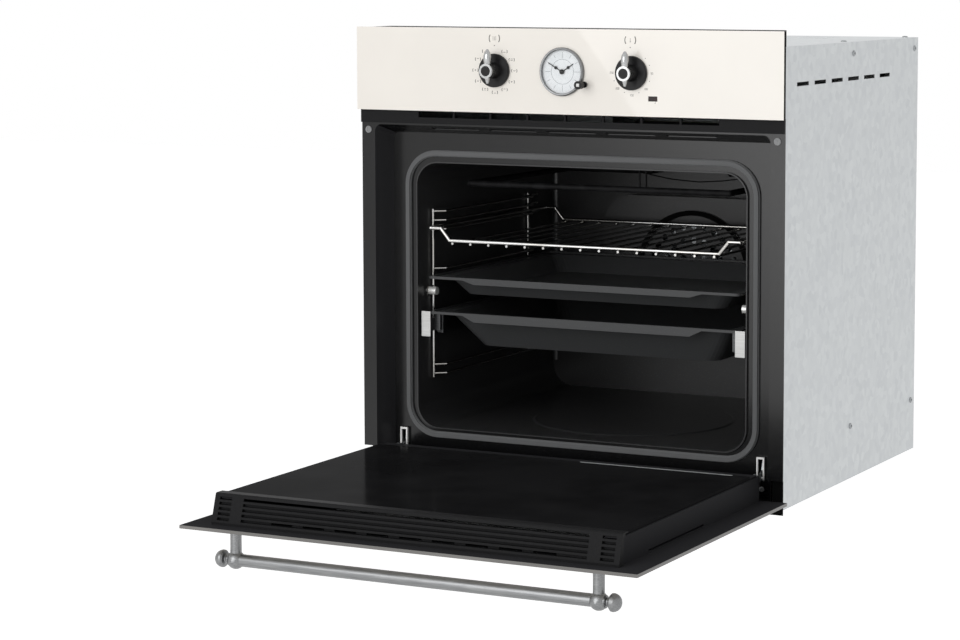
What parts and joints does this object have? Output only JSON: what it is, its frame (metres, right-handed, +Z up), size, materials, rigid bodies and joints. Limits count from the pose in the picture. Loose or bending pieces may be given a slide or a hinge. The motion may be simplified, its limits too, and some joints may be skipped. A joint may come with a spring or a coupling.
{
  "type": "built-in oven",
  "caption": "Built-in electric oven with a drop-down glass door, a retro control panel with two lever knobs and a clock, wire shelf, trays and a telescopic runner.",
  "frame": {"origin": "centre of the base plate's underside", "axes": "+X to the right as seen from the front, +Y into the oven towards its back, +Z up"},
  "size_m": [0.595, 0.9645, 0.6305],
  "materials": {
    "cream_enamel": "gloss",
    "black_enamel": "gloss",
    "black_plastic": "matt",
    "knob_black": "satin",
    "polished_metal": "polished",
    "pewter_steel": "satin",
    "galvanised": "satin",
    "steel": "satin",
    "chrome_wire": "polished",
    "heater_tube": "satin",
    "gasket_fibre": "matt",
    "mineral_wool": "matt",
    "clear_glass": "gloss",
    "dark_glass": "gloss",
    "dial_white": "matt",
    "switch_plastic": "matt",
    "grey_bush": "matt",
    "window_red": "gloss"
  },
  "bodies": {
    "oven": {"control_panel": "cream_enamel", "panel_support": "black_enamel", "indicator_window": "window_red", "clock_case": "pewter_steel", "clock_dial": "dial_white", "clock_glass": "clear_glass", "function_switch": "switch_plastic", "thermostat": "switch_plastic", "vent_strip": "black_plastic", "front_frame": "black_enamel", "fixing_bushes": "grey_bush", "lower_crossmember": "black_enamel", "cavity_liner": "black_enamel", "cavity_gasket": "gasket_fibre", "fan_cover": "black_enamel", "fan_motor": "steel", "ring_heater": "heater_tube", "grill_heater": "heater_tube", "floor_heater": "heater_tube", "oven_lamp": "clear_glass", "side_racks": "chrome_wire", "rack_nuts": "chrome_wire", "runner_channels": "steel", "insulation": "mineral_wool", "side_casings": "galvanised", "top_casing": "galvanised", "rear_casing": "galvanised", "base_plate": "galvanised", "deck_plate": "galvanised", "blower_housing": "galvanised", "terminal_box": "black_plastic", "hinge_receivers": "steel", "hinge_arms": "steel"},
    "door": {"door_panel": "cream_enamel", "door_window": "clear_glass", "door_middle_glass": "clear_glass", "door_inner_glass": "dark_glass", "door_side_frames": "black_enamel", "door_bottom_rail": "black_enamel", "door_vent_trim": "black_plastic", "hinge_bodies": "steel", "hinge_pins": "steel", "handle_posts": "pewter_steel", "handle_bar": "pewter_steel"},
    "function_knob": {"function_knob": "knob_black", "function_lever": "polished_metal"},
    "thermostat_knob": {"thermostat_knob": "knob_black", "thermostat_lever": "polished_metal"},
    "clock_knob": {"clock_knob": "knob_black"},
    "minute_hand": {"minute_hand": "knob_black"},
    "hour_hand": {"hour_hand": "knob_black"},
    "wire_shelf": {"wire_shelf": "chrome_wire"},
    "shallow_tray": {"shallow_tray": "black_enamel"},
    "runner_middle": {"runner_middle": "steel"},
    "deep_tray": {"deep_tray": "black_enamel", "runner_inner": "steel"},
    "fan_wheel": {"fan_wheel": "steel"},
    "blower_wheel": {"blower_wheel": "steel"},
    "latch_left": {"latch_left": "polished_metal"},
    "latch_right": {"latch_right": "polished_metal"}
  },
  "joints": [
    {"name": "door_hinge", "type": "hinge", "parent": "oven", "child": "door", "pos_m": [0, -0.25685, 0.04], "axis": [1, 0, 0], "range_deg": [-90, 0]},
    {"name": "function_knob_turn", "type": "hinge", "parent": "oven", "child": "function_knob", "pos_m": [-0.0955, -0.28385, 0.5415], "axis": [0, 1, 0], "continuous": true},
    {"name": "thermostat_knob_turn", "type": "hinge", "parent": "oven", "child": "thermostat_knob", "pos_m": [0.0955, -0.28385, 0.5415], "axis": [0, 1, 0], "range_deg": [0, 270]},
    {"name": "clock_knob_turn", "type": "hinge", "parent": "oven", "child": "clock_knob", "pos_m": [0.031, -0.28385, 0.526], "axis": [0, 1, 0], "continuous": true},
    {"name": "minute_hand_turn", "type": "hinge", "parent": "oven", "child": "minute_hand", "pos_m": [0, -0.28385, 0.5415], "axis": [0, 1, 0], "continuous": true},
    {"name": "hour_hand_turn", "type": "hinge", "parent": "oven", "child": "hour_hand", "pos_m": [0, -0.28385, 0.5415], "axis": [0, 1, 0], "continuous": true},
    {"name": "wire_shelf_slide", "type": "slide", "parent": "oven", "child": "wire_shelf", "axis": [0, -1, 0], "range_m": [0, 0.32]},
    {"name": "shallow_tray_slide", "type": "slide", "parent": "oven", "child": "shallow_tray", "axis": [0, -1, 0], "range_m": [0, 0.32]},
    {"name": "deep_tray_slide", "type": "slide", "parent": "oven", "child": "deep_tray", "axis": [0, -1, 0], "range_m": [0, 0.3]},
    {"name": "runner_middle_slide", "type": "slide", "parent": "oven", "child": "runner_middle", "axis": [0, -1, 0], "range_m": [0, 0.15]},
    {"name": "fan_spin", "type": "hinge", "parent": "oven", "child": "fan_wheel", "pos_m": [0, 0.14615, 0.248], "axis": [0, 1, 0], "continuous": true},
    {"name": "blower_spin", "type": "hinge", "parent": "oven", "child": "blower_wheel", "pos_m": [0, 0.10115, 0.5002], "axis": [1, 0, 0], "continuous": true},
    {"name": "latch_left_turn", "type": "hinge", "parent": "oven", "child": "latch_left", "pos_m": [-0.2537, -0.24285, 0.041], "axis": [1, 0, 0], "range_deg": [0, 60]},
    {"name": "latch_right_turn", "type": "hinge", "parent": "oven", "child": "latch_right", "pos_m": [0.2537, -0.24285, 0.041], "axis": [1, 0, 0], "range_deg": [0, 60]}
  ],
  "couplings": [
    {"joint": "minute_hand_turn", "follows": "clock_knob_turn", "ratio": -1},
    {"joint": "hour_hand_turn", "follows": "clock_knob_turn", "ratio": -0.083333},
    {"joint": "runner_middle_slide", "follows": "deep_tray_slide", "ratio": 0.5}
  ]
}
